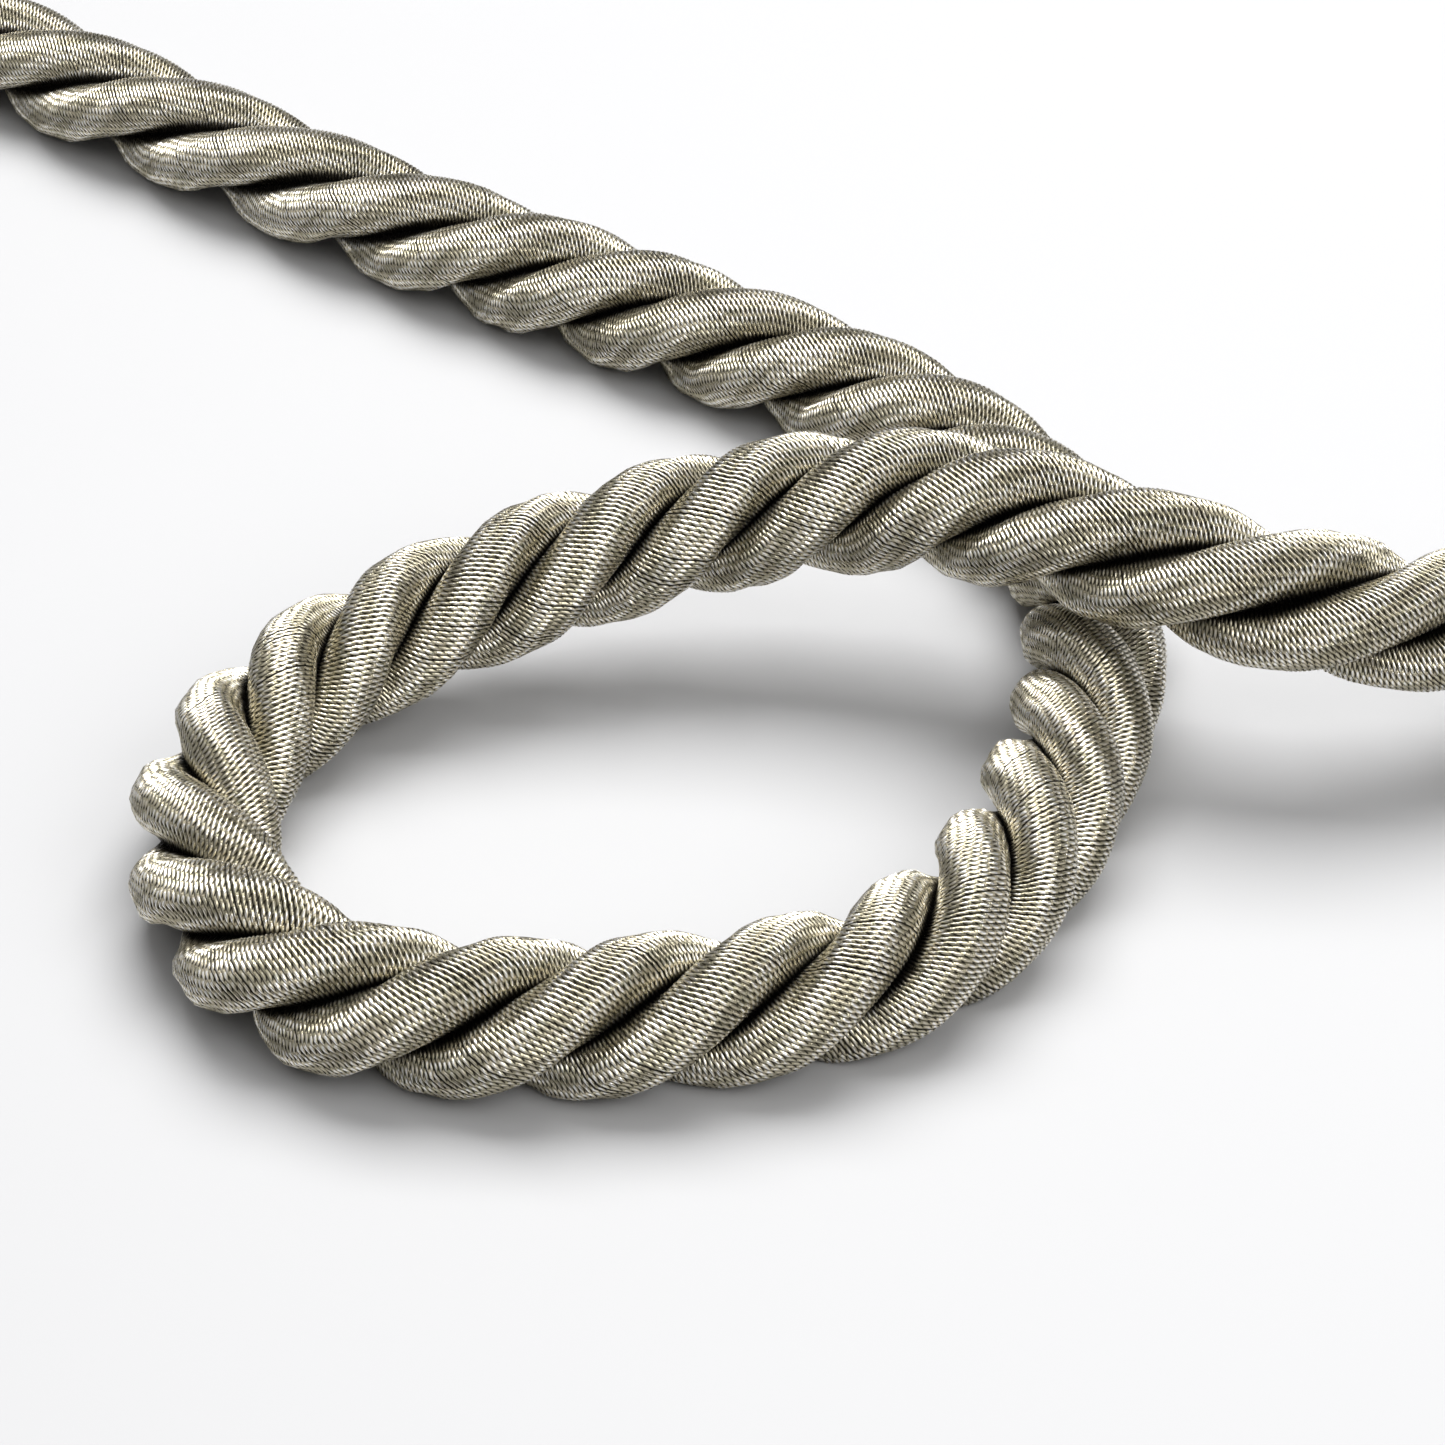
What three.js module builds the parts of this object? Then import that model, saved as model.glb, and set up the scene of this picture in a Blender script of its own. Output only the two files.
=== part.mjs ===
// Twisted cord trim: a short cut length that lies on a table in one open loop.
// Three strands, each wound round with metallic thread, are laid up left-handed.
// Millimetres, +Z up, table at z = 0. X runs to the viewer's right and Y away from the viewer.

import * as THREE from "three";

// Cord
const cordDiameter = 8;
const strandCount = 3;
const strandDiameter = 3.6;
// The loop's bends narrow the gap between two strands to 0.3.
const strandGap = 0.33;
const layRadius = (cordDiameter - strandDiameter) / 2;
const strandSides = 12;
const ringsPerLay = 18;

// Colour of the thread
const threadColour = 0xb3ab98;
const threadRoughness = 0.4;
const threadMetalness = 0.7;

// Heights of the cord's middle. Its weight presses the lobes that touch the table a little flat.
const pressedFlat = 0.45;
const onTable = cordDiameter / 2 - pressedFlat;
const overCord = onTable + cordDiameter + 0.3;

// Control points of the cord's middle, from the far left end, round the loop, to the right end.
// The curve runs smoothly near them, and starts and stops beside the second and the last but one.
const routePoints = [
  // far arm, which comes in from the upper left
  [-77, 70, onTable],
  [-67, 60, onTable],
  [-57, 50, onTable],
  [-46, 41, onTable],
  [-35.5, 32, onTable],
  [-25, 23, onTable],
  [-13.5, 15, onTable],
  [-3.5, 8, onTable],
  [5.5, 1.5, onTable],
  [12.5, -6, onTable],
  // right side of the loop, starting under the crossing
  [17, -14, onTable],
  [18.5, -22.5, onTable],
  [17.5, -31.5, onTable],
  [15, -40, onTable],
  [11.5, -48.5, onTable],
  [5.5, -55.5, onTable],
  // front
  [-3.5, -58, onTable],
  [-12.5, -59, onTable],
  [-21.5, -58, onTable],
  // left end
  [-27.5, -53.5, onTable],
  [-31, -45.5, onTable],
  [-30.5, -37, onTable + 0.1],
  [-26, -30, onTable + 0.8],
  // rear, rising in a long low hump over the far arm
  [-19.5, -26, 5.8],
  [-11, -23, 7.6],
  [-2.5, -21.5, 9.6],
  [7, -22, 11.2],
  [14, -25.5, overCord],
  [20.5, -30, overCord],
  // right arm, coming down to the table again
  [27.5, -32.5, 11],
  [35, -32, 9.5],
  [42, -29.5, 7.8],
  [49.5, -26.5, 6],
  [59, -22.5, onTable + 0.8],
  [69, -18.5, onTable],
  [80, -14.5, onTable],
];

// Length of one full turn of the strands, from each distance along the cord on.
// Each change is spread over layBlend: the loop has tightened the twist and the arms let it open.
const lays = [
  { from: 0, lay: 33 },
  { from: 60, lay: 24.5 },
  { from: 100, lay: 21 },
  { from: 190, lay: 22 },
  { from: 262, lay: 25.5 },
];
const layBlend = 30;
const firstAngle = -100;

/** Smooth route through the control points, as a uniform cubic B-spline. */
class Route extends THREE.Curve {
  getPoint(t, target = new THREE.Vector3()) {
    const spans = routePoints.length - 3;
    const span = Math.min(Math.floor(t * spans), spans - 1);
    const u = t * spans - span;
    const weights = [
      (1 - u) ** 3 / 6,
      (3 * u ** 3 - 6 * u ** 2 + 4) / 6,
      (-3 * u ** 3 + 3 * u ** 2 + 3 * u + 1) / 6,
      u ** 3 / 6,
    ];
    target.set(0, 0, 0);
    weights.forEach((weight, i) => {
      target.addScaledVector(new THREE.Vector3(...routePoints[span + i]), weight);
    });
    return target;
  }
}

/** Lay at a distance along the cord, blended from row to row of the table. */
function layAt(distance) {
  let lay = lays[0].lay;
  for (let i = 1; i < lays.length; i += 1) {
    const start = lays[i].from - layBlend / 2;
    const share = THREE.MathUtils.smoothstep(distance, start, start + layBlend);
    lay += (lays[i].lay - lays[i - 1].lay) * share;
  }
  return lay;
}

/** Stations along the cord, one equal step of the twist apart, each with its axes and angle. */
function cordStations() {
  const route = new Route();
  route.arcLengthDivisions = 2000;
  const length = route.getLength();
  const up = new THREE.Vector3(0, 0, 1);
  const stations = [];
  let distance = 0;
  while (distance < length) {
    const point = route.getPointAt(distance / length);
    const tangent = route.getTangentAt(distance / length);
    const side = new THREE.Vector3().crossVectors(up, tangent).normalize();
    const lift = new THREE.Vector3().crossVectors(tangent, side);
    const lay = layAt(distance);
    const angle = firstAngle - (360 * stations.length) / ringsPerLay;
    stations.push({ point, tangent, side, lift, angle, lay });
    distance += lay / ringsPerLay;
  }
  return stations;
}

/**
 * Ring of one strand, in the plane square to the cord at a station. The round strand crosses that
 * plane at a slant, so each of its points is carried along the twist into the plane. A side that
 * meets the next strand is flat there, half of strandGap from it.
 */
function strandRing(station, phase) {
  // equal area to a round strand, with one side of the polygon facing outwards
  const sector = (2 * Math.PI) / strandSides;
  const ringRadius = (strandDiameter / 2) * Math.sqrt(sector / Math.sin(sector));
  const twistRate = (2 * Math.PI) / station.lay;
  const slant = Math.atan(layRadius * twistRate);
  const flatAngle = Math.PI / strandCount;
  const clearance = strandGap / 2 / Math.cos(slant);
  const strandAngle = THREE.MathUtils.degToRad(station.angle + phase);
  const ring = [];
  for (let i = 0; i < strandSides; i += 1) {
    const across = ringRadius * Math.sin((i + 0.5) * sector);
    const outward = layRadius + ringRadius * Math.cos((i + 0.5) * sector);
    const sideways = across * Math.cos(slant);
    const turned = Math.atan2(sideways, outward) + across * Math.sin(slant) * twistRate;
    const spot = new THREE.Vector2(Math.hypot(outward, sideways), 0);
    spot.rotateAround(new THREE.Vector2(), turned);

    const intoStrand = new THREE.Vector2(0, -Math.sign(spot.y));
    intoStrand.rotateAround(new THREE.Vector2(), Math.sign(spot.y) * flatAngle);
    spot.addScaledVector(intoStrand, Math.max(clearance - spot.dot(intoStrand), 0));
    spot.rotateAround(new THREE.Vector2(), strandAngle);

    const vertex = station.point
      .clone()
      .addScaledVector(station.side, spot.x)
      .addScaledVector(station.lift, spot.y);
    vertex.z = Math.max(vertex.z, 0);
    ring.push(vertex);
  }
  return ring;
}

/** Closed tube of one strand, with flat cut ends. */
function strandGeometry(stations, phase) {
  const points = stations.flatMap((station) => strandRing(station, phase));
  const faces = [];
  const last = stations.length - 1;
  for (let i = 0; i < last; i += 1) {
    for (let j = 0; j < strandSides; j += 1) {
      const a = i * strandSides + j;
      const b = i * strandSides + ((j + 1) % strandSides);
      const c = a + strandSides;
      const d = b + strandSides;
      faces.push(a, b, c, b, d, c);
    }
  }
  const lastRing = last * strandSides;
  for (let j = 1; j < strandSides - 1; j += 1) {
    faces.push(0, j + 1, j);
    faces.push(lastRing, lastRing + j, lastRing + j + 1);
  }

  const geometry = new THREE.BufferGeometry().setFromPoints(points);
  geometry.setIndex(faces);
  geometry.computeVertexNormals();
  return geometry;
}

/** One wrapped strand as a mesh of its own. */
function strandMesh(stations, index) {
  const geometry = strandGeometry(stations, (360 * index) / strandCount);
  const material = new THREE.MeshStandardMaterial({
    color: threadColour,
    roughness: threadRoughness,
    metalness: threadMetalness,
  });
  const mesh = new THREE.Mesh(geometry, material);
  mesh.name = `strand_${index + 1}`;
  return mesh;
}

const cord = new THREE.Group();
cord.name = "twisted_cord_trim";
const stations = cordStations();
for (let index = 0; index < strandCount; index += 1) {
  cord.add(strandMesh(stations, index));
}

export default cord;
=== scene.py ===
import math

import bmesh
import bpy
import numpy as np
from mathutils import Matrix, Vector


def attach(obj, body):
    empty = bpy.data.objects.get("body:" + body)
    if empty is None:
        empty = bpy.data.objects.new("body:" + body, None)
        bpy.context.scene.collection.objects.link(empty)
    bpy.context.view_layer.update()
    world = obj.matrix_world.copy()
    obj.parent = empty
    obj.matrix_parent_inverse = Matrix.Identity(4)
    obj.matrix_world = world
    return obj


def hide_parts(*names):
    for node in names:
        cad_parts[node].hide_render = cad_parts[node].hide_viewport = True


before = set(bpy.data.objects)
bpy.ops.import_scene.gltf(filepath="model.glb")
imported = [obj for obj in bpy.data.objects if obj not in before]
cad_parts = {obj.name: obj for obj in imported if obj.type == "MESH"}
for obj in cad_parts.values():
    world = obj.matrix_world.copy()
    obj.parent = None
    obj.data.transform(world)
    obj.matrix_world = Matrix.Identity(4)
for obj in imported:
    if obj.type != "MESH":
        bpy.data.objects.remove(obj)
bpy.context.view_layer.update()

# Twisted cord trim, a short cut length lying in an open loop.
# Metres, +Z up, table at z = 0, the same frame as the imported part.

# camera

viewpoint = {
    "eye": (-0.003, -0.21603, 0.13625),
    "lookDown": 36.0,  # degrees below the horizon
    "fieldOfView": 20.0,  # degrees across the square picture
}


def placeCamera(settings):
    lens = bpy.data.cameras.new("trimCamera")
    lens.angle = math.radians(settings["fieldOfView"])
    lens.clip_start = 0.01
    lens.clip_end = 20.0
    camera = bpy.data.objects.new("trimCamera", lens)
    camera.location = settings["eye"]
    camera.rotation_euler = (math.radians(90 - settings["lookDown"]), 0, 0)
    bpy.context.collection.objects.link(camera)
    bpy.context.scene.camera = camera


placeCamera(viewpoint)
print("camera placed")

# the cord's middle

onTable = 0.00355  # height of the middle where the cord lies on the table
overCord = 0.01185  # and where it lies over itself

lie = {
    "route": [
        (-0.077, 0.070, onTable), (-0.067, 0.060, onTable), (-0.057, 0.050, onTable),
        (-0.046, 0.041, onTable), (-0.0355, 0.032, onTable), (-0.025, 0.023, onTable),
        (-0.0135, 0.015, onTable), (-0.0035, 0.008, onTable), (0.0055, 0.0015, onTable),
        (0.0125, -0.006, onTable), (0.017, -0.014, onTable), (0.0185, -0.0225, onTable),
        (0.0175, -0.0315, onTable), (0.015, -0.040, onTable), (0.0115, -0.0485, onTable),
        (0.0055, -0.0555, onTable), (-0.0035, -0.058, onTable), (-0.0125, -0.059, onTable),
        (-0.0215, -0.058, onTable), (-0.0275, -0.0535, onTable), (-0.031, -0.0455, onTable),
        (-0.0305, -0.037, onTable + 0.0001), (-0.026, -0.030, onTable + 0.0008),
        (-0.0195, -0.026, 0.0058), (-0.011, -0.023, 0.0076), (-0.0025, -0.0215, 0.0096),
        (0.007, -0.022, 0.0112), (0.014, -0.0255, overCord), (0.0205, -0.030, overCord),
        (0.0275, -0.0325, 0.011), (0.035, -0.032, 0.0095), (0.042, -0.0295, 0.0078),
        (0.0495, -0.0265, 0.006), (0.059, -0.0225, onTable + 0.0008), (0.069, -0.0185, onTable),
        (0.080, -0.0145, onTable),
    ],
    # length of a full turn of the strands, from each distance along the cord on
    "lays": [(0.0, 0.033), (0.060, 0.0245), (0.100, 0.021), (0.190, 0.022), (0.262, 0.0255)],
    "layBlend": 0.030,
    "firstAngle": -100.0,
    "stepsPerLay": 18,
    "diameter": 0.008,
}


def routeCurve(points, perSpan=160):
    # uniform cubic B-spline: each span is its four nearest points, weighted by cubics of u
    control = np.array(points)
    u = np.linspace(0, 1, perSpan, endpoint=False)
    weights = np.stack([(1 - u) ** 3, 3 * u**3 - 6 * u**2 + 4, -3 * u**3 + 3 * u**2 + 3 * u + 1, u**3], 1) / 6
    spans = np.stack([control[k : k + len(control) - 3] for k in range(4)], 1)
    curve = np.einsum("uk,skc->suc", weights, spans).reshape(-1, 3)
    end = (control[-3] + 4 * control[-2] + control[-1]) / 6
    return np.vstack([curve, end])


def lengthsAlong(line):
    # running sum of the lengths of a line's steps
    return np.concatenate([[0], np.cumsum(np.linalg.norm(np.diff(line, axis=0), axis=1))])


def layAt(distance):
    # from row to row of the lays, blended with 3x^2 - 2x^3
    lay = lie["lays"][0][1]
    for (_, before), (start, after) in zip(lie["lays"], lie["lays"][1:]):
        x = min(max((distance - start) / lie["layBlend"] + 0.5, 0), 1)
        lay += (after - before) * x * x * (3 - 2 * x)
    return lay


def walkTheTwist(length):
    # distances along the cord that are one equal step of the twist apart
    distances, distance = [], 0.0
    while distance < length:
        distances.append(distance)
        distance += layAt(distance) / lie["stepsPerLay"]
    return np.array(distances)


middle = routeCurve(lie["route"])
middleAlong = lengthsAlong(middle)
twistSteps = walkTheTwist(middleAlong[-1])
cordLength = twistSteps[-1]  # the cord is cut square at the last step
evenly = np.linspace(0, cordLength, 400)
cordPath = np.stack([np.interp(evenly, middleAlong, middle[:, k]) for k in range(3)], 1)
print(f"cord route: {cordLength:.3f} m")

# strands

strandMake = {
    "count": 3,
    "radius": 0.00172,
    "layRadius": 0.00228,
    "shoulders": 2.5,  # 2 is a round strand, and more gives it a flatter face between two shoulders
    "spread": 0.00050,  # how much further the strand reaches on its inner half, before it is pressed
    "spreadFrom": 1.85,  # radians from the strand's outermost line, where that starts
    "spreadOver": 0.45,  # and over which it grows to its full size
    "pressed": 14.0,  # how sharply a strand's sides turn flat where it meets its neighbours
    "threadPitch": 0.000230,  # of the thread wound round a strand, along the strand's middle
    "threadStarts": 21,  # threads wound side by side, which sets their slant
    "rowsPerThread": 3,
    "columns": 18,  # round a strand
    "crest": 0.000022,  # how far a thread's back stands out
    "valley": 0.000050,  # and how far the gap between two goes in
    "proud": 0.25,  # how much the crests differ from thread to thread, as a share
    "looseShare": 0.03,  # of the threads, beside which the gap has opened
    "looseDepth": 0.9,  # share by which such a gap is deeper
    "uneven": 0.006,  # share of the radius
    "wavesAlong": (0.0231, 0.0137, 0.0071),  # wavelengths of the unevenness along a strand
    "wavesAround": (2.9, 1.7),  # and of the part that winds round it, in radians
    "waveSlope": 0.006,  # length in which that winds on by one radian
    "coreYarns": 5,  # that show under the thread as low ridges
    "coreRidge": 0.000140,
    "coreTurn": 0.070,  # strand length in which they turn once
    "coreUneven": 0.3,  # how much the ridges on one side stand out more
    "grains": 18.0,  # of the thread's film, each with a painted glint dash, once round a strand
    "lineStep": 0.00008,  # between the points of a strand's middle line
    "bakeColumns": 8,  # equal lengths of the strand's skin, side by side on the bake map
    "bakeMargin": 0.02,  # share of a column's width that stays empty on each side
    "bakeFoot": 0.06,  # share of the bake map's height that is left to the cut ends
    "bakeHeight": 0.935,  # and that the columns take
    "seed": 5,
}


def unitRows(vectors):
    return vectors / np.linalg.norm(vectors, axis=1)[:, None]


def strandLine(index, beyond=0.010):
    # a helix round the cord's middle: middle + layRadius * (cos(angle) side + sin(angle) lift),
    # where side is square to the middle and level, and the angle falls by 360 degrees in each lay.
    # It runs on straight past both ends of the cord, so that they can be cut square.
    distance = np.arange(-beyond, cordLength + beyond, strandMake["lineStep"])
    point = np.stack([np.interp(distance, middleAlong, middle[:, k]) for k in range(3)], 1)
    firstWay = unitRows(middle[1:2] - middle[0:1])[0]
    lastWay = unitRows(middle[-1:] - middle[-2:-1])[0]
    point += np.minimum(distance, 0)[:, None] * firstWay
    point += np.maximum(distance - middleAlong[-1], 0)[:, None] * lastWay
    tangent = unitRows(np.gradient(point, axis=0))
    side = unitRows(np.cross((0, 0, 1), tangent))
    lift = np.cross(tangent, side)

    steps = np.arange(len(twistSteps))
    turned = np.interp(distance, twistSteps, steps)
    turned += np.minimum(distance, 0) / (twistSteps[1] - twistSteps[0])
    turned += np.maximum(distance - cordLength, 0) / (twistSteps[-1] - twistSteps[-2])
    twisted = 360 * turned / lie["stepsPerLay"]
    angle = np.radians(lie["firstAngle"] - twisted + 360 * index / strandMake["count"])
    outward = np.cos(angle)[:, None] * side + np.sin(angle)[:, None] * lift
    line = point + strandMake["layRadius"] * outward
    along = unitRows(np.gradient(line, axis=0))
    slant = (along * tangent).sum(1)  # cosine of the strand's angle to the cord
    outward = unitRows(outward - (outward * along).sum(1)[:, None] * along)
    return line, along, outward, slant


def slowWaves(at, random, wavelengths):
    # a sum of sines with seeded phases, from about -1 to 1
    waves = [np.sin(2 * math.pi * at / w + random.uniform(0, 2 * math.pi)) for w in wavelengths]
    return sum(waves) / len(waves) * 1.4


def woundStrand(index):
    # A tube along the strand's helix. Its rows follow the wound thread: row k at the angle t lies at
    # k * pitch / rowsPerThread + advance * t / 360 along the strand, so each row climbs one slant.
    # The first row of every thread is the valley beside it, and the others are its back.
    make = strandMake
    random = np.random.default_rng(make["seed"] + index)
    line, along, outward, slant = strandLine(index)
    reach = lengthsAlong(line)
    rows, columns = make["rowsPerThread"], make["columns"]
    step = make["threadPitch"] / rows
    advance = make["threadPitch"] * make["threadStarts"]
    total = int((reach[-1] - advance) / step)
    total -= total % (rows * make["bakeColumns"])

    row = np.arange(total)[:, None]
    turn = np.arange(columns)[None, :] / columns
    at = (row * step + advance * turn).ravel()
    angle = np.broadcast_to(2 * math.pi * turn - math.pi, (total, columns)).ravel()

    threads = total // rows + make["threadStarts"] + 1
    proud = random.normal(0, make["proud"], threads)
    loose = np.where(random.random(threads) < make["looseShare"], make["looseDepth"], 0.0)
    thread = np.broadcast_to(row // rows, (total, columns)).ravel()
    isValley = np.broadcast_to(row % rows == 0, (total, columns)).ravel()
    relief = np.where(isValley, -make["valley"] * (1 + loose[thread]), make["crest"] * (1 + proud[thread]))

    unevenness = slowWaves(at, random, make["wavesAlong"])
    unevenness = unevenness + slowWaves(angle + at / make["waveSlope"], random, make["wavesAround"]) * 0.5
    # the section is a superellipse: radius * (|cos(angle)|^n + |sin(angle)|^n)^(-1/n)
    n = make["shoulders"]
    section = (np.abs(np.cos(angle)) ** n + np.abs(np.sin(angle)) ** n) ** (-1 / n)
    radius = make["radius"] * section * (1 + make["uneven"] * unevenness)
    coreAngle = angle + 2 * math.pi * at / make["coreTurn"]
    ridges = np.abs(np.sin(make["coreYarns"] / 2 * coreAngle)) * (1 + make["coreUneven"] * np.sin(coreAngle))
    radius += make["coreRidge"] * ridges
    inner = np.clip((np.abs(angle) - make["spreadFrom"]) / make["spreadOver"], 0, 1)
    radius += make["spread"] * inner * inner * (3 - 2 * inner)
    # each side is pressed flat on the plane through the cord's middle that it shares with the next
    # strand: radius = (radius^-p + plane^-p)^(-1/p), with plane the distance to it at this angle
    steep = math.tan(math.pi / make["count"]) * np.interp(at, reach, slant)
    toPlane = np.sin(np.abs(angle)) - steep * np.cos(angle)
    plane = np.where(toPlane > 1e-3, steep * make["layRadius"] / np.maximum(toPlane, 1e-3), 1.0)
    p = make["pressed"]
    radius = (radius**-p + plane**-p) ** (-1 / p) + relief

    def alongStrand(values):
        return np.stack([np.interp(at, reach, values[:, k]) for k in range(3)], 1)

    ways, out = unitRows(alongStrand(along)), unitRows(alongStrand(outward))
    across = np.cross(ways, out)
    outwards = np.cos(angle)[:, None] * out + np.sin(angle)[:, None] * across
    points = alongStrand(line) + radius[:, None] * outwards
    points[:, 2] = np.maximum(points[:, 2], 0)  # its own weight presses it flat on the table

    # quads, with the last column joined to the first one threadStarts threads further on
    k, j = np.meshgrid(np.arange(total - 1), np.arange(columns), indexing="ij")
    k, j = k.ravel(), j.ravel()
    around = np.where(j == columns - 1, make["threadStarts"] * rows, 0)
    keep = k + around + 1 < total
    k, j, around = k[keep], j[keep], around[keep]
    nextColumn = (j + 1) % columns
    corner = k * columns + j
    beside = (k + around) * columns + nextColumn
    quads = np.stack([corner, beside, beside + columns, corner + columns], 1)

    # map "threads": u counts the grains round the strand, v the threads along it
    cornerColumn = np.stack([j, j + 1, j + 1, j], 1)
    cornerRow = np.stack([k, k, k + 1, k + 1], 1)
    threadsMap = np.stack([cornerColumn / columns * make["grains"], cornerRow / rows], -1)

    # map "OFBake": the strand's skin cut in equal lengths that lie side by side
    perStrip = total // make["bakeColumns"]
    strip = np.minimum(k // perStrip, make["bakeColumns"] - 1)
    margin = make["bakeMargin"]
    sideways = (strip[:, None] + margin + (1 - 2 * margin) * cornerColumn / columns) / make["bakeColumns"]
    upwards = make["bakeFoot"] + make["bakeHeight"] * (cornerRow - strip[:, None] * perStrip) / perStrip
    bakeMap = np.stack([sideways, upwards], -1)
    return points, quads, {"threads": threadsMap, "OFBake": bakeMap}


def meshPiece(name, points, faces, maps):
    # an object from points, faces that all have the same number of corners, and UV maps
    mesh = bpy.data.meshes.new(name)
    mesh.vertices.add(len(points))
    mesh.vertices.foreach_set("co", points.astype(np.float32).ravel())
    mesh.loops.add(faces.size)
    mesh.loops.foreach_set("vertex_index", faces.astype(np.int32).ravel())
    mesh.polygons.add(len(faces))
    mesh.polygons.foreach_set("loop_start", np.arange(0, faces.size, faces.shape[1], dtype=np.int32))
    for mapName, places in maps.items():
        layer = mesh.uv_layers.new(name=mapName)
        layer.data.foreach_set("uv", places.astype(np.float32).ravel())
    mesh.update(calc_edges=True)
    mesh.validate()
    piece = bpy.data.objects.new(name, mesh)
    bpy.context.collection.objects.link(piece)
    return piece


cutEnd = {
    "reach": 0.0025,  # more than half of a strand's width at its cut
    "bakeSize": 0.025,  # half width of its square on the bake map
    "bakeGap": 0.003,  # from that square to the map's edge
    "corners": 8,  # a face with more than these closes a cut
}


def cutSquare(piece, place, way, corner):
    # cuts the strand square to the cord at place, takes off what is past it and closes the cut
    shape = bmesh.new()
    shape.from_mesh(piece.data)
    everything = list(shape.verts) + list(shape.edges) + list(shape.faces)
    cut = bmesh.ops.bisect_plane(
        shape, geom=everything, plane_co=place, plane_no=way, clear_outer=True, dist=1e-7
    )
    rim = [e for e in cut["geom_cut"] if isinstance(e, bmesh.types.BMEdge)]
    bmesh.ops.holes_fill(shape, edges=rim, sides=0)
    caps = [f for f in shape.faces if len(f.verts) > cutEnd["corners"]]
    bakeLayer, threadLayer = shape.loops.layers.uv["OFBake"], shape.loops.layers.uv["threads"]
    levelWay = Vector((0, 0, 1)).cross(way).normalized()
    upWay = way.cross(levelWay)
    middleSpot = cutEnd["bakeSize"] + cutEnd["bakeGap"]
    for face in caps:
        if abs(face.calc_center_median().dot(way) - place.dot(way)) > 1e-6:
            continue
        face.material_index = 1
        face.smooth = False
        face.normal_update()
        if face.normal.dot(way) < 0:
            face.normal_flip()
        centre = face.calc_center_median()
        for loop in face.loops:
            away = loop.vert.co - centre
            spot = (away.dot(levelWay) / cutEnd["reach"], away.dot(upWay) / cutEnd["reach"])
            across, up = (middleSpot + cutEnd["bakeSize"] * share for share in spot)
            loop[bakeLayer].uv = (corner + across, up)
            loop[threadLayer].uv = (strandMake["grains"] / 2 + spot[0] * 0.1, 0.5)
    shape.to_mesh(piece.data)
    shape.free()


strands = []
firstCut, lastCut = Vector(cordPath[0]), Vector(cordPath[-1])
firstWay = (Vector(cordPath[0]) - Vector(cordPath[1])).normalized()
lastWay = (Vector(cordPath[-1]) - Vector(cordPath[-2])).normalized()
for index in range(strandMake["count"]):
    points, quads, maps = woundStrand(index)
    strand = meshPiece(f"woundStrand{index + 1}", points, quads, maps)
    strand.data.polygons.foreach_set("use_smooth", np.ones(len(strand.data.polygons), bool))
    cutSquare(strand, firstCut, firstWay, 0.0)
    cutSquare(strand, lastCut, lastWay, 0.1)
    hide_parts(f"strand_{index + 1}")
    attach(strand, "root")
    strands.append(strand)
    print(f"strand {index + 1}: {len(strand.data.polygons)} faces")

# materials


class Wire:
    # a value on its way between nodes, which sums and products can be written with
    def __init__(self, paint, socket):
        self.paint, self.socket = paint, socket

    def __add__(self, other):
        return self.paint.maths("ADD", self, other)

    __radd__ = __add__

    def __mul__(self, other):
        return self.paint.maths("MULTIPLY", self, other)

    __rmul__ = __mul__

    def __sub__(self, other):
        return self.paint.maths("SUBTRACT", self, other)

    def __rsub__(self, other):
        return self.paint.maths("SUBTRACT", other, self)

    def __truediv__(self, other):
        return self.paint.maths("DIVIDE", self, other)

    def __pow__(self, other):
        return self.paint.maths("POWER", self, other)

    def __abs__(self):
        return self.paint.maths("ABSOLUTE", self)


class Paint:
    # the nodes of one material, or of the sky
    def __init__(self, owner, last="Principled BSDF"):
        owner.use_nodes = True
        self.owner, self.tree, self.made = owner, owner.node_tree, 0
        self.shader = self.tree.nodes[last]

    def node(self, kind, settings, sockets):
        node = self.tree.nodes.new(kind)
        node.location = (-2400 + 190 * (self.made // 6), 500 - 190 * (self.made % 6))
        self.made += 1
        for name, value in settings.items():
            setattr(node, name, value)
        for name, value in sockets.items():
            self.plug(node.inputs[name], value)
        return node

    def plug(self, socket, value):
        if isinstance(value, Wire):
            self.tree.links.new(value.socket, socket)
        else:
            socket.default_value = value

    def wire(self, node, output=0):
        return Wire(self, node.outputs[output])

    def maths(self, operation, first, second=0.0):
        return self.wire(self.node("ShaderNodeMath", {"operation": operation}, {0: first, 1: second}))

    def step(self, value, low, high):
        # 0 below low and 1 above high, smooth between them
        settings = {"interpolation_type": "SMOOTHSTEP", "clamp": True}
        sockets = {"Value": value, "From Min": low, "From Max": high}
        return self.wire(self.node("ShaderNodeMapRange", settings, sockets))

    def larger(self, first, second):
        return self.maths("MAXIMUM", first, second)

    def whiteNoise(self, value):
        # one even chance from 0 to 1 for each value
        return self.wire(self.node("ShaderNodeTexWhiteNoise", {"noise_dimensions": "1D"}, {"W": value}))

    def mix(self, share, first, second):
        mixer = self.node("ShaderNodeMix", {"data_type": "RGBA"}, {0: share, 6: first, 7: second})
        return self.wire(mixer, 2)


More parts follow.
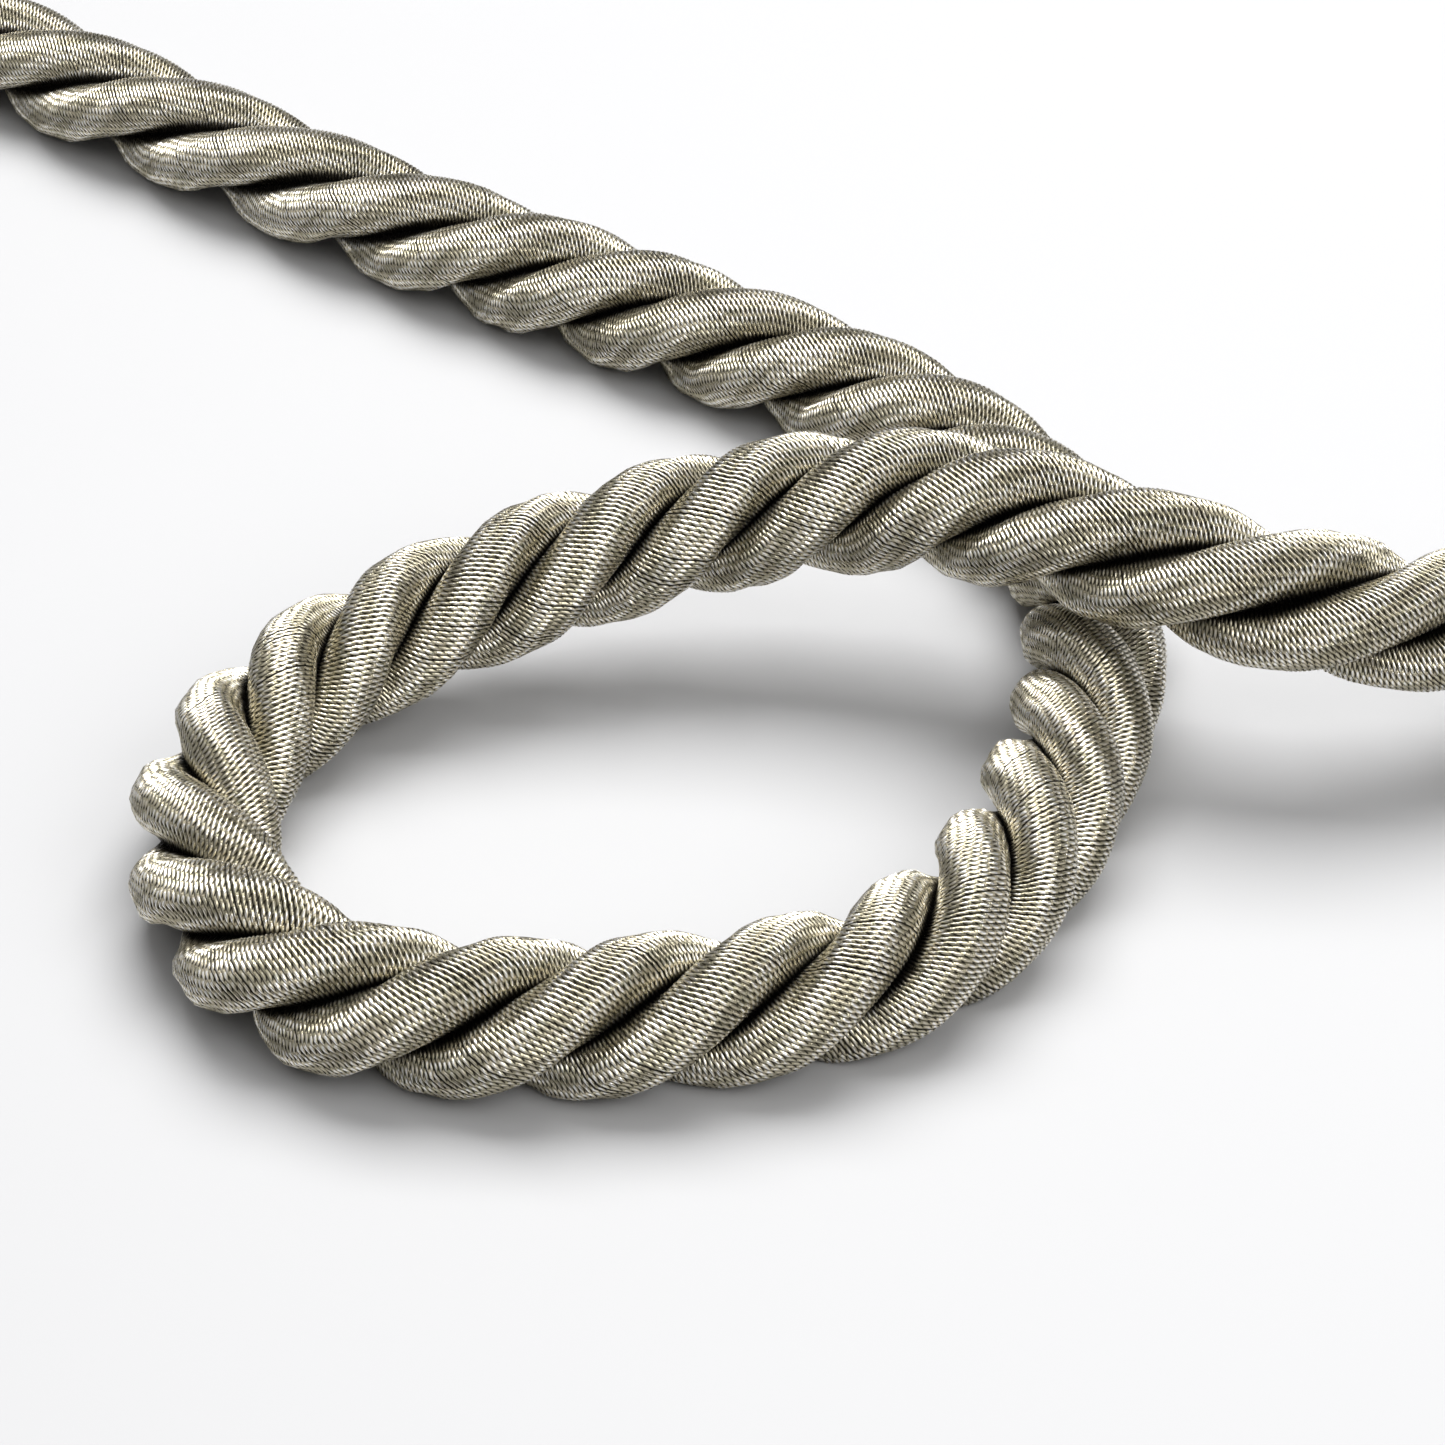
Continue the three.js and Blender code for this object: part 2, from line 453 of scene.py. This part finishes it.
threadLook = {
    "filmGlint": (0.95, 0.94, 0.91, 1),  # champagne silver, painted near white as the glint on each grain's dash
    "warm": (0.69, 0.62, 0.46, 1),
    "olive": (0.40, 0.40, 0.275, 1),
    "brown": (0.43, 0.37, 0.265, 1),
    "gap": (0.010, 0.008, 0.006, 1),  # painted shade, in the gaps between threads and beside the glint dashes, and in the grooves between strands
    "grooveShade": 0.05,  # painted groove shade: how much of its colour a strand keeps where it goes in beside the next
    "grooveShadeFrom": (0.25, 0.30),  # share of a turn from the outermost line, where the painted groove shade starts and where it is full
    "grainStep": 0.20,  # of a grain's length, by which the grains of the next thread lie further on
    "grainDrift": 3.0,  # how far that wanders, in grains
    "grainChance": 0.25,
    "dashTurn": -0.80,  # how far a painted glint dash runs across the thread, over one grain's length
    # half widths of the painted glint dash and of the painted shade in the slot and seam, as shares of the
    # thread's width, where each starts to fade and where it ends
    "dashWidth": (0.08, 0.28),
    "slotWidth": (0.03, 0.22),
    "seamFrom": (0.34, 0.47),
    # and half lengths of the dash and of the painted shade at a grain's ends, as shares of a grain's
    "dashLength": (0.30, 0.47),
    "endsFrom": (0.42, 0.50),
    "openShare": 0.90,  # past this chance, the gap beside a thread has opened, and the painted shade in its seam is wider and darker
    "streakScale": (0.45, 0.006),  # of the painted sheen streaks, for each grain round the strand and each thread along it
    "streakEdge": (0.36, 0.64),
    "ridgeShare": 0.35,  # how much of a painted sheen streak follows the core's ridges
    # share of brown laid between the painted sheen streaks, a painted shade in the cord's own brown hue
    "streakBrown": 0.60,
    "roughness": 0.20,
    "metallic": 0.95,
    "height": 0.00010,
}


def metallicThread():
    # the wound thread: painted glint dashes, painted shade in its gaps and lengthwise painted sheen streaks,
    # all on the map "threads"
    look, make = threadLook, strandMake
    paint = Paint(bpy.data.materials.new("metallicThread"))
    places = paint.node("ShaderNodeUVMap", {"uv_map": "threads"}, {})
    split = paint.node("ShaderNodeSeparateXYZ", {}, {0: paint.wire(places)})
    u, v = paint.wire(split, 0), paint.wire(split, 1)

    thread = paint.maths("FLOOR", v)
    across = v - thread - 0.5  # -0.5 to 0.5 over one thread
    ownPhase = paint.whiteNoise(thread)
    driftNoise = {"W": thread * 0.03, "Scale": 1.0, "Detail": 1.0}
    drift = paint.wire(paint.node("ShaderNodeTexNoise", {"noise_dimensions": "1D"}, driftNoise))
    turned = u - thread * look["grainStep"] + drift * look["grainDrift"] + ownPhase * look["grainChance"]
    grain = paint.maths("FLOOR", turned)
    along = turned - grain - 0.5  # -0.5 to 0.5 over one grain of its film
    where = paint.node("ShaderNodeCombineXYZ", {}, {0: thread, 1: grain})
    chance = paint.node("ShaderNodeTexWhiteNoise", {"noise_dimensions": "2D"}, {"Vector": paint.wire(where)})
    shades = paint.node("ShaderNodeSeparateColor", {}, {0: paint.wire(chance, 1)})
    chanceA, chanceB, chanceC = (paint.wire(shades, k) for k in range(3))
    rowChance = paint.whiteNoise(grain + 0.5)  # one for each row of grains

    # each grain has a painted glint dash, turned a little from the thread, and a slot of painted shade beside
    # it
    turn = along * look["dashTurn"]
    middlePart = 1 - paint.step(abs(along), *look["dashLength"])
    glintDash = (1 - paint.step(abs(across - turn), *look["dashWidth"])) * middlePart
    fromEdge = across - paint.maths("SIGN", across) * 0.5
    slotShade = (1 - paint.step(abs(fromEdge - turn), *look["slotWidth"])) * middlePart
    opened = paint.step(ownPhase, look["openShare"] - 0.04, look["openShare"] + 0.04)
    # painted shade along the seam between two threads, wider and darker where the gap has opened
    seamShade = paint.step(abs(across) + opened * 0.10, *look["seamFrom"]) * (0.78 + 0.20 * opened)
    # painted shade at both ends of each grain
    endShade = paint.step(abs(along), *look["endsFrom"]) * 0.2
    paintedShade = paint.larger(paint.larger(slotShade, seamShade), endShade)

    back = 1 - abs(across * 2) ** 2.2
    lean = across * (chanceA - 0.5) * 0.5 + along * (chanceB - 0.5) * 0.8
    height = back * 0.55 + glintDash * 0.10 - slotShade * 0.10 + lean

    # painted sheen: lengthwise light streaks along the strand, partly following the core's ridges, that stand
    # in for bands of reflected light
    roundScale, threadScale = look["streakScale"]
    lengthwise = paint.node("ShaderNodeCombineXYZ", {}, {0: u * roundScale, 1: thread * threadScale})
    streakNoise = {"Vector": paint.wire(lengthwise), "Scale": 1.0, "Detail": 1.0}
    wander = paint.wire(paint.node("ShaderNodeTexNoise", {"noise_dimensions": "2D"}, streakNoise))
    # the core's ridges, as woundStrand works them out: |sin(coreYarns / 2 * coreAngle)|
    around = u / make["grains"]
    strandLength = v * make["threadPitch"] + around * (make["threadPitch"] * make["threadStarts"])
    coreTurns = around - 0.5 + strandLength / make["coreTurn"]
    ridge = abs(paint.maths("SINE", coreTurns * (math.pi * make["coreYarns"])))
    sheenStreak = paint.step(wander + (ridge - 0.6) * look["ridgeShare"], *look["streakEdge"])
    # olive or warm by chance, and warmer on the painted sheen streaks
    tone = paint.mix(paint.step(chanceC * 0.6 + sheenStreak * 0.6, 0.2, 1.0), look["olive"], look["warm"])
    # painted glint: how bright a dash is laid on in the near-white film colour, by chance and more along the
    # painted sheen streaks
    glintShare = paint.step(chanceA * 0.45 + rowChance * 0.40 + sheenStreak * 0.45, 0.20, 0.80)
    colour = paint.mix(glintDash * (0.25 + 0.75 * glintShare), tone, look["filmGlint"])
    # painted shade: brown laid between the painted sheen streaks
    colour = paint.mix((1 - sheenStreak) * look["streakBrown"], colour, look["brown"])
    # the painted shade of slots, seams and grain ends goes on in the dark gap colour
    colour = paint.mix(paintedShade, colour, look["gap"])
    # painted shade in the grooves, on the strand's inner sides where it goes in beside its neighbours
    grooveShade = paint.step(abs(around - 0.5), *look["grooveShadeFrom"]) * (1 - look["grooveShade"])
    colour = paint.mix(grooveShade, colour, look["gap"])

    bump = paint.node("ShaderNodeBump", {}, {"Strength": 1.0, "Distance": look["height"], "Height": height})
    paint.plug(paint.shader.inputs["Base Color"], colour)
    paint.plug(paint.shader.inputs["Metallic"], look["metallic"])
    paint.plug(paint.shader.inputs["Roughness"], look["roughness"] + chanceB * 0.12 + paintedShade * 0.25)
    paint.plug(paint.shader.inputs["Normal"], paint.wire(bump))
    return paint.owner


# the yarns' own colour, and the painted shade in the gaps between their ends
coreLook = {"yarn": (0.66, 0.61, 0.52, 1), "between": (0.36, 0.32, 0.25, 1), "yarnsPerMetre": 2400.0}


def cutYarns():
    # the ends of the core yarns, as cells with painted shade in the gaps between them
    look = coreLook
    paint = Paint(bpy.data.materials.new("cutYarns"))
    places = paint.wire(paint.node("ShaderNodeTexCoord", {}, {}), 3)
    cellSize = {"Vector": places, "Scale": look["yarnsPerMetre"]}
    cells = paint.node("ShaderNodeTexVoronoi", {"feature": "F1"}, cellSize)
    gap = paint.step(paint.wire(cells, 0), 0.25, 0.75)
    paint.plug(paint.shader.inputs["Base Color"], paint.mix(gap, look["yarn"], look["between"]))
    bump = paint.node("ShaderNodeBump", {}, {"Strength": 0.8, "Distance": 0.0001, "Height": 1 - gap})
    paint.plug(paint.shader.inputs["Normal"], paint.wire(bump))
    paint.plug(paint.shader.inputs["Roughness"], 0.85)
    return paint.owner


threadPaint, corePaint = metallicThread(), cutYarns()
for strand in strands:
    strand.data.materials.append(threadPaint)
    strand.data.materials.append(corePaint)
print("materials made")

# table and light

studio = {
    "tableSize": 3.0,
    "tableDrop": 0.00002,  # under the cord, so that the two don't share a plane
    "tableColour": (0.46, 0.46, 0.465, 1),
    "lowSky": (0.17, 0.17, 0.175, 1),
    "highSky": (1.0, 1.0, 1.0, 1),
    "skyRises": 0.40,  # sine of the height from which it gets brighter
    # place, what it looks at, size, power
    "lights": {
        "overhead": ((0.02, 0.17, 0.43), (0, -0.02, 0), (0.46, 0.34), 3.5),
        "fill": ((0.32, -0.28, 0.34), (0, -0.02, 0), (0.34, 0.34), 1.25),
    },
}


def layTable(settings):
    # a plain square with the cord near its middle
    half = settings["tableSize"] / 2
    corners = np.array([(-half, -half, 0), (half, -half, 0), (half, half, 0), (-half, half, 0)])
    corners = corners - (0, 0, settings["tableDrop"])
    table = meshPiece("tableTop", corners, np.array([[0, 1, 2, 3]]), {})
    paint = Paint(bpy.data.materials.new("tablePaint"))
    paint.plug(paint.shader.inputs["Base Color"], settings["tableColour"])
    paint.plug(paint.shader.inputs["Roughness"], 0.6)
    table.data.materials.append(paint.owner)


def hangLights(settings):
    # soft rectangles of light, each turned to what it looks at
    for name, (place, target, size, power) in settings["lights"].items():
        lamp = bpy.data.lights.new(name, "AREA")
        lamp.shape = "RECTANGLE"
        lamp.size, lamp.size_y = size
        lamp.energy = power
        light = bpy.data.objects.new(name, lamp)
        light.location = place
        light.rotation_euler = (Vector(target) - Vector(place)).to_track_quat("-Z", "Y").to_euler()
        bpy.context.collection.objects.link(light)


def paintSky(settings):
    # one grey up to a height, and brighter from there to straight above
    paint = Paint(bpy.data.worlds.new("studioSky"), "Background")
    direction = paint.wire(paint.node("ShaderNodeTexCoord", {}, {}))
    height = paint.wire(paint.node("ShaderNodeSeparateXYZ", {}, {0: direction}), 2)
    rising = {"Value": height, "From Min": settings["skyRises"], "From Max": 1.0}
    share = paint.wire(paint.node("ShaderNodeMapRange", {"clamp": True}, rising))
    paint.plug(paint.shader.inputs["Color"], paint.mix(share, settings["lowSky"], settings["highSky"]))
    bpy.context.scene.world = paint.owner


layTable(studio)
hangLights(studio)
paintSky(studio)
bpy.context.scene.view_settings.view_transform = "Standard"
print("table and lights set")
